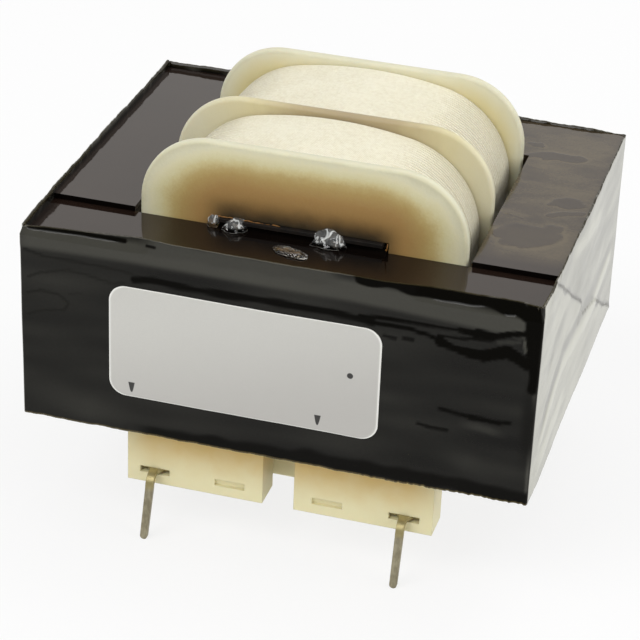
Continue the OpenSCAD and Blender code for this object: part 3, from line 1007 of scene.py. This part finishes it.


# The creases of each side: width, soft, lift, tone, gloss, and then the line's corners; their tones are
# painted reflections, light on rolls and lobes, dark in furrows
FOLDS: dict[Face, tuple[tuple[float | Pair | None, ...], ...]] = {
    Face.FRONT: (
        # The painted light reflection on the roll along the top edge, and on the lobe that ends it
        (0.75, 0.9, 0.05, 0.62, None, (-31, 37.4), (-16, 37.7), (8, 37.6), (20, 37.1), (25, 36.8),
         (31, 36.6)),
        (0.5, 0.7, 0.02, 0.55, None, (-16, 38.6), (8, 38.7)),
        # The furrows beside and above the lobe, painted dark
        (0.52, 0.25, -0.05, 0, 0.05, (9.3, 39.3), (16.9, 38.9), (22.2, 38.9), (26.2, 38.7), (27.6, 37.6)),
        (0.16, 0.14, -0.06, 0, 0.05, (-27.7, 38.6), (-22.1, 38.75), (-16.8, 38.75)),
        (0.08, 0.14, -0.03, 0.1, 0.2, (-14.3, 38.7), (-13.4, 38.7)),
        # Contour lines of the blister at the left, painted dark
        (0.06, 0.2, -0.03, 0.16, 0.3, (-28.2, 36), (-25.8, 35.5), (-22.1, 35.5), (-18.6, 35.4),
         (-15.9, 35.2)),
        (0.05, 0.18, -0.03, 0.18, 0.3, (-27.8, 32.7), (-26.5, 33.4), (-23.3, 34.3), (-20.9, 34.1),
         (-18.1, 33.6), (-16.8, 33.9)),
        (0.05, 0.18, -0.03, 0.18, 0.3, (-28, 30.7), (-26.4, 31.3), (-24.3, 31.2), (-23.1, 30.3),
         (-23.6, 29.4), (-26.4, 28.8), (-27.9, 28.1)),
        (0.04, 0.16, -0.02, 0.2, 0.4, (-23.1, 31.4), (-21.7, 31.8)),
        # The furrow above the label, painted dark
        (0.26, 0.3, -0.04, 0, 0.1, (-15.6, 34.5), (-13.5, 34.8), (-8.8, 34.55), (-0.9, 34.75), (6.2, 34.7),
         (10.8, 34.4)),
        # Furrows right of the label, painted dark, with painted light reflections among them
        (0.13, 0.15, -0.03, 0, 0.05, (9.5, 34.9), (12.7, 35.1), (14.9, 35.15), (18.1, 35.15), (20.4, 35.2)),
        (0.3, 0.2, -0.05, 0, 0.05, (20.2, 35.2), (21.5, 35.1), (23.2, 35), (24.5, 35.35), (25.7, 35.8),
         (27.2, 36.1)),
        (0.52, 0.22, -0.04, 0, 0.05, (22.2, 35.1), (23.5, 35.05)),
        (0.16, 0.15, -0.03, 0, 0.05, (10.5, 34.35), (14.5, 34.4), (17.1, 33.95), (18.2, 33.5)),
        (0.42, 0.2, -0.05, 0, 0.05, (18.3, 33.45), (19.2, 33.15), (20.4, 32.85), (21.8, 32.7),
         (23.2, 32.65)),
        (0.6, 0.22, -0.05, 0, 0.05, (23, 32.7), (24.2, 33.2), (25.4, 33.65), (26.3, 33.2), (27.4, 32.5)),
        (0.08, 0.15, -0.03, 0.02, 0.1, (18, 34.2), (20.8, 34.3), (22.6, 34.6)),
        (0.12, 0.2, 0.02, 0.34, None, (24.4, 34.6), (26.6, 35)),
        (0.1, 0.2, -0.02, 0.05, 0.2, (12.2, 33), (13.4, 32.9)),
        (0.1, 0.2, -0.02, 0.05, 0.2, (14.3, 33.1), (15.3, 33.1)),
        (0.3, 1.2, -0.02, 0.1, 0.3, (28.3, 31), (28.4, 24), (28.4, 19)),
        (0.8, 0.3, -0.03, 0, 0.05, (27.9, 38.8), (28.15, 35), (28.2, 33.8)),
        (0.35, 0.35, -0.03, 0, 0.05, (28.2, 33.8), (28.35, 31), (28.2, 29.6)),
        (0.1, 0.15, 0.03, 0.62, None, (27.1, 35.2), (27.25, 34)),
        (0.08, 0.3, -0.03, 0, 0.1, (18.7, 25.5), (21.5, 25.15), (24.6, 24.95), (26.2, 25.2)),
        (0.2, 0.25, -0.03, 0, 0.1, (22, 25.1), (25, 24.95)),
        (0.06, 0.25, -0.02, 0.02, 0.15, (16.4, 23.2), (17.7, 23), (19.6, 23)),
        (0.1, 0.7, 0.02, 0.38, None, (20.1, 24.2), (23.1, 24), (26.6, 23.5)),
        # The band that turns under at the bottom edge, painted dark, and the painted light reflections
        # above it
        (0.5, 0.7, 0, 0.04, 0.2, (-16, 15.6), (3.5, 16.3), (20.4, 16.5), (31, 15.9)),
        (0.3, 2.6, 0, 0.38, None, (-30, 18.6), (-22, 17.6), (-12, 17.4)),
        (0.2, 1.9, 0, 0.34, None, (16.5, 20.4), (22.5, 19.4), (27.4, 18.2)),
    ),
    Face.RIGHT: (
        # The torn end of the lap, which runs down to the far bottom corner, with a painted shadow line
        (0.1, 0.32, 0.03, 0.05, None, (-16.5, 38.4), (-13.4, 36.6), (-11.6, 35), (-9.8, 34.3), (-8.4, 33.6),
         (-6.6, 32.1), (-4, 30.6), (0.3, 27.9), (-0.4, 25.4), (2, 25.6), (5.6, 24.9), (8.2, 24.4),
         (10.2, 23.2), (12.6, 21.3), (14.4, 20.9), (17.3, 18.9), (20.7, 17.3), (23.6, 15.6)),
        # The long slack fold with its painted bright and dark sides
        (0.35, 0.9, -0.05, 0.22, None, (22.1, 25.6), (15.9, 25.5), (10, 25.1), (0.5, 26), (-8.9, 26.6),
         (-15.7, 24.9), (-21.5, 22.4)),
        (0.3, 0.9, 0.06, 1, None, (22.1, 24.1), (15.9, 23.6), (10, 22.8), (0.5, 23.6), (-8.9, 24.4),
         (-15.7, 22.8), (-21.5, 20.4)),
        (0.3, 1, -0.04, 0.35, None, (-7.8, 32.1), (-14.8, 30.8), (-20.3, 27.7)),
        (0.3, 1.2, -0.05, 0.3, None, (20, 30.5), (6, 30.8), (-2, 33.6)),
        (0.3, 1.2, 0.04, 0.75, None, (12, 34.2), (0, 36), (-9, 37.6)),
        (0.4, 1.2, 0.04, 0.95, None, (-4, 19.5), (-14, 19), (-22, 17.6)),
    ),
    Face.BACK: (
        # Slack folds like those of the right side, with painted dark lines and light bands
        (0.07, 0.3, -0.04, 0.08, 0.15, (-24, 33.4), (-12, 34.4), (2, 34), (12, 34.9), (19, 34.3)),
        (0.6, 0.9, 0.05, 0.5, None, (-31, 37.2), (-8, 37.6), (12, 37.3), (31, 37.7)),
        (0.05, 0.3, -0.03, 0.1, 0.2, (-27, 24), (-18, 22.8), (-11, 23.4)),
        (0.1, 0.8, 0.04, 0.36, None, (6, 21), (17, 22.2), (28.5, 20.6)),
    ),
    Face.LEFT: (
        (0.06, 0.35, -0.04, 0.1, 0.2, (-20, 34), (-8, 32.8), (4, 33.4), (15, 32.4)),
        (0.2, 1.1, 0.05, 0.34, None, (-22, 22.4), (-4, 24.4), (14, 23.2), (23, 24.4)),
    ),
}
CREASES = tuple(
    Crease(face, row[5:], *row[:5]) for face, rows in FOLDS.items() for row in rows
)

# The trimmed top edge of each side: places along it, and its heights above the steel
TOP_EDGE: dict[Face, tuple[tuple[float, ...], tuple[float, ...]]] = {
    Face.FRONT: ((-28.6, -26, -19.5, -15, 26.5, 28.6), (0.35, 0.6, 0.85, 1.15, 1.1, 0.9)),
    Face.RIGHT: ((-23.8, -20, 23.8), (0.95, 0.5, 0.2)),
    Face.BACK: ((-28.6, -20, 0, 15, 28.6), (0.75, 0.8, 0.6, 0.35, 0.12)),
    Face.LEFT: ((-23.8, -14, 10, 23.8), (0.4, 0.82, 0.92, 0.92)),
}
# The torn end of the lap on the right side: heights, and how far back it is there
LAP_END: tuple[tuple[float, ...], tuple[float, ...]] = (
    (15.6, 18.9, 23.2, 25.4, 27.9, 32.1, 36.6, 38.4),
    (23.6, 17.3, 10.2, 2, 0.3, -6.6, -13.4, -16.5),
)


@dataclass
class FilmBand:
    """The film round the sides of the core, slack in places and trimmed by hand.

    Attributes:
        columns, corner_columns: Points on each side and on each corner.
        rows, rim_rows, lining_rows: Rows outside, at the rim and inside.
        rim_share: Share of the height where the finer rows begin.
        lap: Thickness of the lap.
        depth_shift: Shift of the edge's waviness from front to back.
        tone, gloss: Those of the plain film.
        frayed_x, darker_x, right_x: From left to right, where the bottom edge
            frays, the film darkens, and the right side begins.
        front_lean, end_lean: Where the free edge leans in more, towards the
            front and from the middle.
    """

    finish: BlackFilm
    radius: float = 0.32
    columns: tuple[int, int, int, int] = (150, 120, 330, 180)
    corner_columns: int = 9
    rows: int = 108
    rim_rows: int = 18
    rim_share: float = 0.93
    lining_rows: int = 6
    lap: float = 0.1
    depth_shift: float = 1.7
    tone: float = 0.21
    gloss: float = 0.48
    frayed_x: Pair = (8, 14)
    darker_x: Pair = (8, 20)
    right_x: Pair = (28.3, 28.5)
    front_lean: Pair = (23.3, 23.7)
    end_lean: Pair = (12.0, 17.0)

    def __post_init__(self) -> None:
        """Reads the sizes of the film and of the core inside it."""
        self.steel = Box.of("e_laminations", "i_laminations")
        _, self.joint_y, self.step_z = Box.of("i_laminations").high
        band = Box.of("core_film_band")
        self.low_z = band.low[2]
        self.thick = -(band.low[1] - self.steel.low[1])

    def top_edge(self, x: Array, y: Array) -> Array:
        """Height of the trimmed top edge: how far each side stands above the steel.

        Each side has its own run of heights, joined by straight stretches, and
        the waviness of a cut made by hand is added.
        """
        front, right, back, left = (
            np.interp(x if face.value[0] else y, *TOP_EDGE[face]) for face in Face
        )
        limit = self.steel.high[1] - 0.1
        side = np.where(x > 0, right, left)
        rise = np.where(y < -limit, front, np.where(y > limit, back, side))
        around = x + y * self.depth_shift
        ragged = np.where(y < -limit, 0.35, 1.0)
        wave = 0.07 * ripple(around, 3, 9.0) + 0.025 * ripple(around, 4, 1.1)
        return self.steel.high[2] + rise + ragged * wave

    def bottom_edge(self, x: Array, y: Array) -> Array:
        """Height of the bottom edge, which frays a little."""
        around = x + y * self.depth_shift
        frayed = 0.06 * ripple(around, 11, 0.9) * ease(x, *self.frayed_x)
        return self.low_z + 0.05 * ripple(around, 12, 6.0) + frayed

    def lap_share(self, x: Array, y: Array, z: Array) -> Array:
        """Share of the lap at each point of the right side.

        The lap ends on a torn line from the near top to the far bottom, so a
        point belongs to it where it lies nearer than the line at its height.
        """
        line = np.interp(z, *LAP_END)
        on_face = ease(x, self.steel.high[0] - 0.2, self.steel.high[0])
        return on_face * ease(line - y, -0.15, 0.15)

    def relief(self, x: Array, y: Array, z: Array) -> Array:
        """How far the film stands out: its slackness and each crease's lift."""
        points = xyz(x, y, z * 0.6)
        out = 0.045 * (1 + cloud(points, 21, 9.0)) + 0.01 * cloud(points, 22, 2.4)
        for crease in CREASES:
            out += crease.lift * self.weight(crease, x, y, z)
        return np.maximum(out, 0.0) + self.lap * self.lap_share(x, y, z)

    def weight(self, crease: Crease, x: Array, y: Array, z: Array) -> Array:
        """Share of a crease at each point.

        It fades with the distance from the crease. Wide creases have uneven
        sides, and soft ones also fade towards both ends.
        """
        axis, sign = crease.face.value
        depth, across = (y, x) if axis == 1 else (x, y)
        on_face = ease(sign * depth, self.steel.high[axis] - 0.3, self.steel.high[axis])
        gap = distance_to(across, z, crease.path)
        if 0.18 < crease.width < 0.7:
            gap = gap + crease.width * 0.18 * cloud(xyz(across, z, z * 0), 35, 1.7)
        share = on_face * ease(gap, crease.width + crease.soft, crease.width)
        if crease.soft > 0.5:
            (ax, ay), (bx, by) = crease.path[0], crease.path[-1]
            end = np.minimum(np.hypot(across - ax, z - ay), np.hypot(across - bx, z - by))
            share = share * ease(end, 0.0, 4 * crease.soft)
        return share

    def lean(self, x: Array, y: Array, z: Array) -> Array:
        """How far the free edge above the steel leans in, most at the front ends."""
        front = ease(-y, *self.front_lean)
        foot = np.where(y < self.joint_y, self.step_z, self.steel.high[2])
        above = np.clip(z - foot - 0.05, 0, 2)
        return above * (0.08 + 0.3 * front * ease(np.abs(x - 0.6), *self.end_lean))

    def tones(self, x: Array, y: Array, z: Array) -> tuple[Array, Array]:
        """Tone and gloss of the film, each crease laid over the ones before it. The tone carries painted
        reflections, and painted sheen on the right side.
        """
        streaks = cloud(xyz(x * 0.3, y * 0.3, z * 2.2), 32, 2.4)
        tone = self.tone - 0.05 * ease(x, *self.darker_x)
        tone = tone + 0.02 * cloud(xyz(x, y, z * 2.4), 31, 8.0) + 0.03 * streaks
        # Painted sheen: the right side is lighter, and the lap more so
        tone = tone + ease(x, *self.right_x) * (0.3 + 0.14 * self.lap_share(x, y, z))
        gloss = np.full(z.shape, self.gloss)
        for crease in CREASES:
            share = self.weight(crease, x, y, z)
            if crease.tone is not None:
                tone = tone + (crease.tone - tone) * share
            if crease.gloss is not None:
                gloss = gloss + (crease.gloss - gloss) * share
        return np.clip(tone, 0, 1), np.clip(gloss, 0, 1)

    def grid(self) -> Grid:
        """The closed band: up the outside, over the rim and down the lining."""
        half = self.steel.half[:2] + self.thick
        plan, normal = round_rectangle(*half, self.radius, self.columns, self.corner_columns)
        plan = plan + self.steel.middle[:2]
        x, y = plan[:, 0], plan[:, 1]
        low, top = self.bottom_edge(x, y), self.top_edge(x, y)
        wall = np.linspace(0, self.rim_share, self.rows - self.rim_rows, endpoint=False)
        rim = np.linspace(self.rim_share, 1, self.rim_rows)
        rise = np.concatenate([wall, rim, np.linspace(1, 0.85, self.lining_rows), [0]])
        lining = (np.arange(len(rise)) >= self.rows)[:, None]
        z = low + rise[:, None] * (top - low)
        x, y = np.broadcast_to(x, z.shape), np.broadcast_to(y, z.shape)
        lean = self.lean(x, y, z)
        out = np.where(lining, -lean - self.thick, self.relief(x, y, z) - lean)
        tone, gloss = self.tones(x, y, z)
        # Mottled glue side of the lining, with painted glints as its lighter patches
        mottled = 0.06 + 0.24 * np.maximum(cloud(xyz(x, y, z * 3), 33, 1.0) - 0.3, 0)
        # sheen keeps the painted reflections in full, for the silvery side; the face's tone keeps only a
        # little of them on the right side
        sheen = np.where(lining, mottled, tone)
        right = ease(x, self.steel.high[0], self.steel.high[0] + 0.1)
        tone = sheen + right * (0.22 + 0.2 * (sheen - 0.55) - sheen)
        marks = {
            "tone": np.clip(tone, 0, 1),
            "gloss": gloss,
            "lip": np.where(z < low + 0.14, 0.8, 0.0) + np.where(z > top - 0.04, 0.12, 0.0),
            "inner": np.broadcast_to(lining, z.shape),
            "sheen": np.clip(sheen, 0, 1),
        }
        points = xyz(x + normal[:, 0] * out, y + normal[:, 1] * out, z)
        return Grid(points, wrap_rows=True, marks=marks)

    def build(self) -> None:
        """Makes the film."""
        finish = self.finish.material()
        add_piece("film_band", [self.grid()], finish, "black_film", "core_film_band")


@dataclass
class Label:
    """The label, which lies on the film and follows its slackness."""

    film: FilmBand
    finish: PrintedLabel
    radius: float = 1.9
    sides: tuple[int, int, int, int] = (90, 40, 90, 40)
    corner_points: int = 12
    rings: int = 30
    rim: float = 0.11

    def grid(self) -> Grid:
        """The closed sheet: rings from its centre to its rim, and back beneath.

        A ring is the outline shrunk towards the centre, and its depth is that
        of the film's face there.
        """
        box = Box.of("label")
        half_w, thick, half_h = box.half * (1, 2, 1)
        outline, _ = round_rectangle(half_w, half_h, self.radius, self.sides, self.corner_points)
        share = np.concatenate([np.linspace(0, 0.98, self.rings), [0.987, 0.992, 0.997, 1.0]])
        edge = np.concatenate([share, share[::-1]])[:, None]
        flat = outline[None] * edge[..., None]
        over = np.full(len(share), thick)
        over[-1] = thick * 0.6
        lift = np.concatenate([over, np.zeros(len(share))])[:, None]
        x, z = flat[..., 0] + box.middle[0], flat[..., 1] + box.middle[2]
        face = np.full(x.shape, box.high[1])
        y = face - self.film.relief(x, face, z) - lift - 0.01
        rim = ease((1 - edge) * min(half_w, half_h), self.rim, self.rim * 0.4)
        return Grid(xyz(x, y, z), plan=xyz(flat[..., 0], flat[..., 1], rim))

    def build(self) -> None:
        """Makes the label."""
        add_piece("label_face", [self.grid()], self.finish.material(), "label_stock", "label")


@dataclass
class CoilWrap:
    """The tape wound over one winding, a little swollen between its flanges.

    Attributes:
        node, name, material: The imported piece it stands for; its name and finish.
        corner, crown: Radius of the corners, and of the top and bottom.
        swell, round_over: How far its middle swells and its ends are drawn in.
        rows, counts: Rows across the tape; points on a corner, crown and side.
        thick: Thickness of the sleeve.
    """

    node: str
    name: str
    material: Material
    corner: float = 10.5
    crown: float = 45.0
    swell: float = 0.16
    rows: int = 48
    thick: float = 0.6
    round_over: float = 0.35
    counts: tuple[int, int, int] = (44, 72, 24)

    def outline(self, half_w: float, half_h: float) -> tuple[Array, Array]:
        """Points round the coil and their outward directions, each as (count, 2).

        The corner's circle touches the crown's from inside, so its centre lies
        on the line from the crown's centre to where they touch. A point whose
        outward angle is below that line's is on the corner, else on the crown.
        The lower half is the upper one turned half round, and straight sides
        join the two.
        """
        on_bend, on_top, on_side = self.counts
        centre_x, crown_z = half_w - self.corner, half_h - self.crown
        reach = self.crown - self.corner
        corner_z = crown_z + math.sqrt(reach**2 - centre_x**2)
        touch = math.acos(centre_x / reach)
        bends = [
            np.linspace(0, touch, on_bend, endpoint=False),
            np.linspace(touch, math.pi - touch, on_top, endpoint=False),
            np.linspace(math.pi - touch, math.pi, on_bend),
        ]
        angle = np.concatenate(bends)
        way = np.stack([np.cos(angle), np.sin(angle)], axis=1)
        steep = np.abs(way[:, 0])
        bent = steep > math.cos(touch)
        x = np.where(bent, centre_x + self.corner * steep, self.crown * steep)
        z = np.where(bent, corner_z + self.corner * way[:, 1], crown_z + self.crown * way[:, 1])
        upper = np.stack([np.copysign(x, way[:, 0]), z], axis=1)
        side = np.linspace(corner_z, -corner_z, on_side + 2)[1:-1]
        left = np.stack([np.full(on_side, -half_w), side], axis=1)
        out = np.tile([[-1.0, 0.0]], (on_side, 1))
        return np.concatenate([upper, left, -upper, -left]), np.concatenate([way, out, -way, -out])

    def grid(self) -> Grid:
        """The closed sleeve: along the outside, over each end and back inside.

        Its ends are drawn in by a quarter circle, and between them it swells
        by half a sine.
        """
        box = Box.of(self.node)
        outline, normal = self.outline(box.half[0], box.half[2])
        x, z = outline[:, 0], outline[:, 1]
        share = 0.5 - 0.5 * np.cos(np.linspace(0, math.pi, self.rows))
        width = box.high[1] - box.low[1]
        near = np.clip(self.round_over - np.minimum(share, 1 - share) * width, 0, None)
        curl = self.round_over - np.sqrt(np.clip(self.round_over**2 - near**2, 0, None))
        bulge = self.swell * np.sin(math.pi * share) - curl
        out = np.concatenate([bulge, np.full(self.rows, -self.thick)])[:, None]
        place = np.concatenate([share, share[::-1]])[:, None]
        y = box.low[1] + place * width
        around = np.concatenate([[0], np.cumsum(np.hypot(np.diff(x), np.diff(z)))])
        ridge = ease(np.abs(x), box.half[0] - self.corner, box.half[0] - self.corner * 0.3)
        lumps = cloud(xyz(x * 0.5, z * 0.5, x * 0), 41, 3.0)
        threads = ripple(y, 43, 1.9, 4) * ridge * 0.05
        grow = out + (0.03 * lumps + threads) * np.sin(math.pi * place)
        points = xyz(x + normal[:, 0] * grow, y, z + box.middle[2] + normal[:, 1] * grow)
        return Grid(points, wrap_rows=True, plan=xyz(around, y, ridge))

    def build(self) -> None:
        """Makes the tape."""
        add_piece(self.name, [self.grid()], self.material, "woven_tape", self.node)


@dataclass(frozen=True)
class Drop:
    """One drop of varnish: its place on the part, and its length, width, height."""

    place: Pair
    size: Triple
    turn: float
    seed: int


@dataclass
class VarnishDrops:
    """Drops of clear varnish left at the foot of the front flange."""

    base_z: float
    drops: tuple[Drop, ...] = (
        Drop((-9.9, -14.5), (1.4, 1.2, 1.25), 0.0, 56),
        Drop((-7.4, -14.8), (2.6, 1.7, 1.35), 0.2, 52),
        Drop((3.3, -14.8), (3.8, 2.2, 1.6), -0.1, 57),
        Drop((0.1, -18.0), (3.9, 1.9, 0.5), -0.25, 54),
    )
    clearance: float = 0.02
    rings: int = 30
    columns: int = 48

    def grid(self, drop: Drop) -> Grid:
        """A lumpy dome, closed by a flat foot.

        Height is the square root of one less the radius squared, and lumps
        that fade at the foot push the dome in and out.
        """
        rise = np.linspace(0, math.pi / 2, self.rings)[:, None]
        angle = np.linspace(0, TURN, self.columns, endpoint=False)
        way = xyz(np.sin(rise) * np.cos(angle), np.sin(rise) * np.sin(angle), np.cos(rise))
        lump = 1 + 0.10 * cloud(way, drop.seed, 0.75) + 0.05 * cloud(way, drop.seed + 9, 0.3)
        dome = way * lump[..., None]
        foot = dome[-1:] * np.linspace(1, 0, 4)[1:, None, None]
        points = np.concatenate([dome, foot]) * np.array(drop.size) * (0.5, 0.5, 1)
        points[..., 2] = np.maximum(points[..., 2], 0)
        cos, sin = math.cos(drop.turn), math.sin(drop.turn)
        spin = np.array([[cos, -sin, 0], [sin, cos, 0], [0, 0, 1]])
        return Grid(points @ spin.T + np.array([*drop.place, self.base_z + self.clearance]))

    def build(self) -> None:
        """Makes the drops."""
        grids = [self.grid(drop) for drop in self.drops]
        finish = ClearDrop("clear_varnish", self.base_z).material()
        add_piece("varnish_drops", grids, finish, "clear_varnish", "varnish_beads")


@dataclass
class Core:
    """The laminations and the wedge in the middle leg, as packed."""

    i_base: Colour = (28, 19, 15)
    i_edge: Colour = (36, 26, 21)

    def build(self) -> None:
        """Dresses them."""
        joint_y = Box.of("i_laminations").high[1]
        e_steel = VarnishedSteel("varnished_e_steel", end_y=joint_y, pools=POOLS)
        dress(e_steel.material(), "e_laminations")
        i_steel = VarnishedSteel("varnished_i_steel", self.i_base, self.i_edge, shaded_half=14.0)
        dress(i_steel.material(), "i_laminations")
        wedge = PlainFinish("wedge_strip", (30, 22, 16), (12, 10, 8), 0.0, 0.5, 1.2)
        dress(wedge.material(), "core_wedge")


@dataclass
class Bobbin:
    """The nylon bobbin with its pins, windings, wire ends and tape."""

    corner: float = 8.0
    flange: float = 1.2
    bend: float = 1.3

    def build(self) -> None:
        """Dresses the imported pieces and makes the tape."""
        body, core = Box.of("bobbin"), Box.of("e_laminations")
        near, far = Box.of("primary_wrap"), Box.of("secondary_wrap")
        nylon = MouldedNylon(
            "moulded_nylon",
            half_w=body.half[0],
            half_h=body.high[2] - core.middle[2],
            corner=self.corner,
            mid_z=core.middle[2],
            core_z=core.low[2],
            core_top=core.high[2],
            front_y=near.low[1] - self.flange,
            middle_y=(near.high[1] + far.low[1]) / 2,
        )
        dress(nylon.material(), "bobbin")
        pins = [name for name in sorted(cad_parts) if name.startswith("terminal_")]
        dress(TinnedPin("tinned_pin", Box.of(pins[0]).high[2] - self.bend).material(), *pins)
        copper = PlainFinish("enamelled_copper", (176, 104, 52), (120, 60, 26), 0.7, 0.35).material()
        dress(copper, "primary_winding", "secondary_winding", "primary_leads", "secondary_leads")
        solder = PlainFinish("solder", (206, 204, 200), (150, 148, 144), 1.0, 0.25)
        dress(solder.material(), "solder_joints")
        tape = WovenTape("woven_tape").material()
        CoilWrap("primary_wrap", "primary_tape", tape).build()
        CoilWrap("secondary_wrap", "secondary_tape", tape).build()


@dataclass
class WedgeThread:
    """The orange edge of the strip that lies along the wedge, with its loose end."""

    colour: Colour = (160, 110, 52)
    dark: Colour = (120, 82, 30)
    width: float = 0.06
    length: float = 8.6
    columns: int = 8

    def strand(self, path: Array) -> Grid:
        """A round strand along a path: a circle square to each point's direction."""
        ahead = np.gradient(path, axis=0)
        ahead /= np.linalg.norm(ahead, axis=1, keepdims=True)
        side = np.cross(ahead, [0.05, 0.1, 1.0])
        side /= np.linalg.norm(side, axis=1, keepdims=True)
        over = np.cross(side, ahead)
        angle = np.linspace(0, TURN, self.columns, endpoint=False)[:, None]
        ends = np.ones(len(path))
        ends[[0, -1]] = 0
        ring = np.cos(angle) * side[:, None] + np.sin(angle) * over[:, None]
        return Grid(path[:, None] + ring * (self.width * ends)[:, None, None])

    def build(self) -> None:
        """Makes the edge along the flange's foot and the loose thread end."""
        wedge = Box.of("core_wedge")
        share, bend = np.linspace(0, 1, 60), np.linspace(0, 1, 24)
        edge = xyz(
            wedge.low[0] - 1.3 + share * self.length,
            wedge.low[1] + 0.42 + 0.08 * ripple(share * 12, 61, 5),
            wedge.high[2] + 0.1 + 0.08 * ripple(share * 12, 62, 4) - 0.16 * share,
        )
        tail = xyz(
            wedge.high[0] + 0.4 + 0.9 * bend - 0.5 * bend**2,
            wedge.low[1] - 0.2 - 0.9 * np.sin(bend * 2.2),
            wedge.high[2] - 0.3 + 1.1 * bend**2,
        )
        finish = PlainFinish("thread", self.colour, self.dark, 0.0, 0.5, 0.4).material()
        add_piece("wedge_thread", [self.strand(edge), self.strand(tail)], finish, "wedge_paper")


# ---- studio


@dataclass(frozen=True)
class Lamp:
    """A soft square lamp that faces the part, with its place and size in metres."""

    name: str
    place: Triple
    size: float
    power: float

    def build(self) -> None:
        """Adds the lamp."""
        data = bpy.data.lights.new(self.name, "AREA")
        data.size, data.energy = self.size, self.power
        lamp = add_object(self.name, data)
        lamp.location = self.place
        lamp.rotation_euler = (-Vector(self.place)).to_track_quat("-Z", "Y").to_euler()


@dataclass
class Studio:
    """Plain pale floor, soft light and the viewpoint.

    Attributes:
        azimuth, elevation: Degrees that the camera stands round from the
            front and above the horizon.
        roll: Degrees that it leans.
        distance, aim: From the point looked at, and that point from the
            middle of the part's box, in millimetres.
        floor_half: Half the side of the floor, in metres.
    """

    azimuth: float = 15.26
    elevation: float = 28.702
    roll: float = 2.3787
    distance: float = 287.77
    aim: Triple = (-0.915, -1.817, -2.694)
    lens: float = 139.859
    sensor: float = 36.0
    floor_half: float = 3.0
    lamps: tuple[Lamp, ...] = (
        Lamp("key", (-0.3, -0.6, 0.7), 0.5, 3.9),
        Lamp("top", (0.25, 0.3, 0.8), 0.6, 1.5),
        Lamp("fill", (0.7, -0.1, 0.3), 0.6, 2.3),
    )

    def camera(self) -> None:
        """Stands the camera on its azimuth and elevation, and leans it by its roll."""
        low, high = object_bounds()
        target = (low + high) / 2 + Vector(self.aim) * MM
        a, e = math.radians(self.azimuth), math.radians(self.elevation)
        back = Vector((math.sin(a) * math.cos(e), -math.cos(a) * math.cos(e), math.sin(e)))
        data = bpy.data.cameras.new("viewpoint")
        data.lens, data.sensor_width = self.lens, self.sensor
        data.clip_start, data.clip_end = 0.01, 20
        camera = add_object("viewpoint", data)
        turn = (-back).to_track_quat("-Z", "Y").to_matrix().to_4x4()
        lean = Matrix.Rotation(math.radians(self.roll), 4, "Z")
        camera.matrix_world = Matrix.Translation(target + back * self.distance * MM) @ turn @ lean
        bpy.context.scene.camera = camera

    def floor(self) -> None:
        """A wide pale floor that shows as white, and keeps a part of the shadow."""
        half = self.floor_half
        corners = [(-half, -half, 0), (half, -half, 0), (half, half, 0), (-half, half, 0)]
        mesh = bpy.data.meshes.new("floor")
        mesh.from_pydata(corners, [], [(0, 1, 2, 3)])
        floor = add_object("floor", mesh)
        mesh.materials.append(PaleFloor("pale_floor").material())
        floor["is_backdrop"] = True

    def world(self) -> None:
        """White all round for the eye; even light; a dark front for reflections."""
        world = bpy.data.worlds.new("studio")
        bpy.context.scene.world = world
        world.use_nodes = True
        graph = Graph(world.node_tree)
        eye, shiny = graph.rays()
        _, y, z = graph.split(graph.node("TexCoord").outputs["Generated"])
        behind = y.step(-0.25, 0.35).most(z.step(0.8, 0.95)) * 0.98 + 0.02
        strength = shiny * behind + (1 - shiny) * (eye * 0.42 + 0.58)
        back = graph.shader("Background", {0: WHITE, 1: strength})
        graph.node("OutputWorld", {0: back})

    def build(self) -> None:
        """Sets up the whole studio."""
        self.camera()
        self.floor()
        self.world()
        for lamp in self.lamps:
            lamp.build()
        bpy.context.scene.view_settings.view_transform = "Standard"


def main() -> None:
    """Builds the studio and then every piece."""
    logging.basicConfig(level=logging.INFO, format="%(message)s")
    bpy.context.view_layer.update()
    Studio().build()
    Core().build()
    Bobbin().build()
    film = FilmBand(BlackFilm("black_film"))
    film.build()
    Label(film, PrintedLabel("printed_label")).build()
    VarnishDrops(Box.of("i_laminations").high[2]).build()
    WedgeThread().build()


if __name__ == "__main__":
    main()
